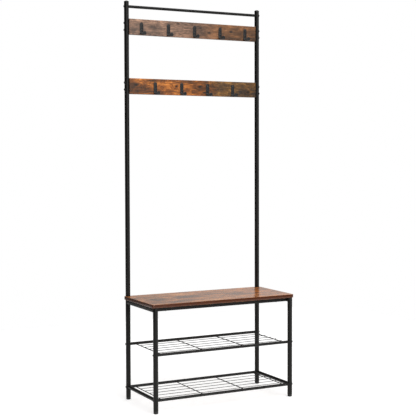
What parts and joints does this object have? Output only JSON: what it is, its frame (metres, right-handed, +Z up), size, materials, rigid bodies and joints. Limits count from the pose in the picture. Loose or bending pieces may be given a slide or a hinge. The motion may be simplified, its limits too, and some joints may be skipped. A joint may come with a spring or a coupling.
{
  "type": "hall tree",
  "caption": "Hall tree: a shoe bench with a wood seat and wire shelves under two posts that carry a top rod and two boards of coat hooks.",
  "frame": {"origin": "on the floor under the middle of the frame", "axes": "+X to the right, +Y to the back, +Z up; the front, with the hooks, faces -Y"},
  "size_m": [0.72, 0.3266, 1.83],
  "materials": {
    "cap_plastic": "moulded black plastic, fine sheen",
    "fastener_black": "black oxide, slightly glossy",
    "foot_plastic": "moulded black plastic",
    "frame_black": "semi-gloss black powder coat",
    "hook_black": "satin black powder coat",
    "lower_board_wood": "satin rustic brown wood-grain laminate on particle board",
    "plug_plastic": "moulded black nylon",
    "seat_wood": "satin rustic brown wood-grain laminate on particle board",
    "upper_board_wood": "satin rustic brown wood-grain laminate on particle board",
    "wire_black": "semi-gloss black powder coat",
    "zinc_steel": "bright zinc plate"
  },
  "bodies": {
    "frame": {"board_bolts": "fastener_black", "board_inserts": "zinc_steel", "bottom_shelf_cross_wires": "wire_black", "bottom_shelf_front_tube": "frame_black", "bottom_shelf_long_wires": "wire_black", "bottom_shelf_rear_tube": "frame_black", "bottom_side_rail_left": "frame_black", "bottom_side_rail_right": "frame_black", "end_nuts": "zinc_steel", "foot_inserts": "foot_plastic", "frame_bolts": "fastener_black", "front_leg_plugs": "plug_plastic", "hook_screws": "fastener_black", "leg_front_left": "frame_black", "leg_front_right": "frame_black", "leg_rear_left": "frame_black", "leg_rear_right": "frame_black", "lower_hook_1": "hook_black", "lower_hook_2": "hook_black", "lower_hook_3": "hook_black", "lower_hook_4": "hook_black", "lower_hook_board": "lower_board_wood", "middle_shelf_cross_wires": "wire_black", "middle_shelf_front_tube": "frame_black", "middle_shelf_long_wires": "wire_black", "middle_shelf_rear_tube": "frame_black", "post_cap_left": "cap_plastic", "post_cap_right": "cap_plastic", "post_left": "frame_black", "post_plugs": "plug_plastic", "post_right": "frame_black", "post_studs": "zinc_steel", "rear_leg_plugs": "plug_plastic", "seat_board": "seat_wood", "seat_front_rail": "frame_black", "seat_rail_bolts": "fastener_black", "seat_rail_plugs": "plug_plastic", "seat_rear_rail": "frame_black", "seat_screws": "fastener_black", "seat_side_rail_left": "frame_black", "seat_side_rail_right": "frame_black", "top_rod": "frame_black", "upper_hook_1": "hook_black", "upper_hook_2": "hook_black", "upper_hook_3": "hook_black", "upper_hook_4": "hook_black", "upper_hook_5": "hook_black", "upper_hook_board": "upper_board_wood"},
    "levelling_foot_front_left": {"foot_front_left": "foot_plastic", "foot_stud_front_left": "zinc_steel"},
    "levelling_foot_front_right": {"foot_front_right": "foot_plastic", "foot_stud_front_right": "zinc_steel"},
    "levelling_foot_rear_left": {"foot_rear_left": "foot_plastic", "foot_stud_rear_left": "zinc_steel"},
    "levelling_foot_rear_right": {"foot_rear_right": "foot_plastic", "foot_stud_rear_right": "zinc_steel"}
  },
  "joints": [
    {"name": "foot_height_front_left", "type": "slide", "parent": "frame", "child": "levelling_foot_front_left", "axis": [0, 0, -1], "range_m": [0, 0.01]},
    {"name": "foot_height_front_right", "type": "slide", "parent": "frame", "child": "levelling_foot_front_right", "axis": [0, 0, -1], "range_m": [0, 0.01]},
    {"name": "foot_height_rear_left", "type": "slide", "parent": "frame", "child": "levelling_foot_rear_left", "axis": [0, 0, -1], "range_m": [0, 0.01]},
    {"name": "foot_height_rear_right", "type": "slide", "parent": "frame", "child": "levelling_foot_rear_right", "axis": [0, 0, -1], "range_m": [0, 0.01]}
  ]
}
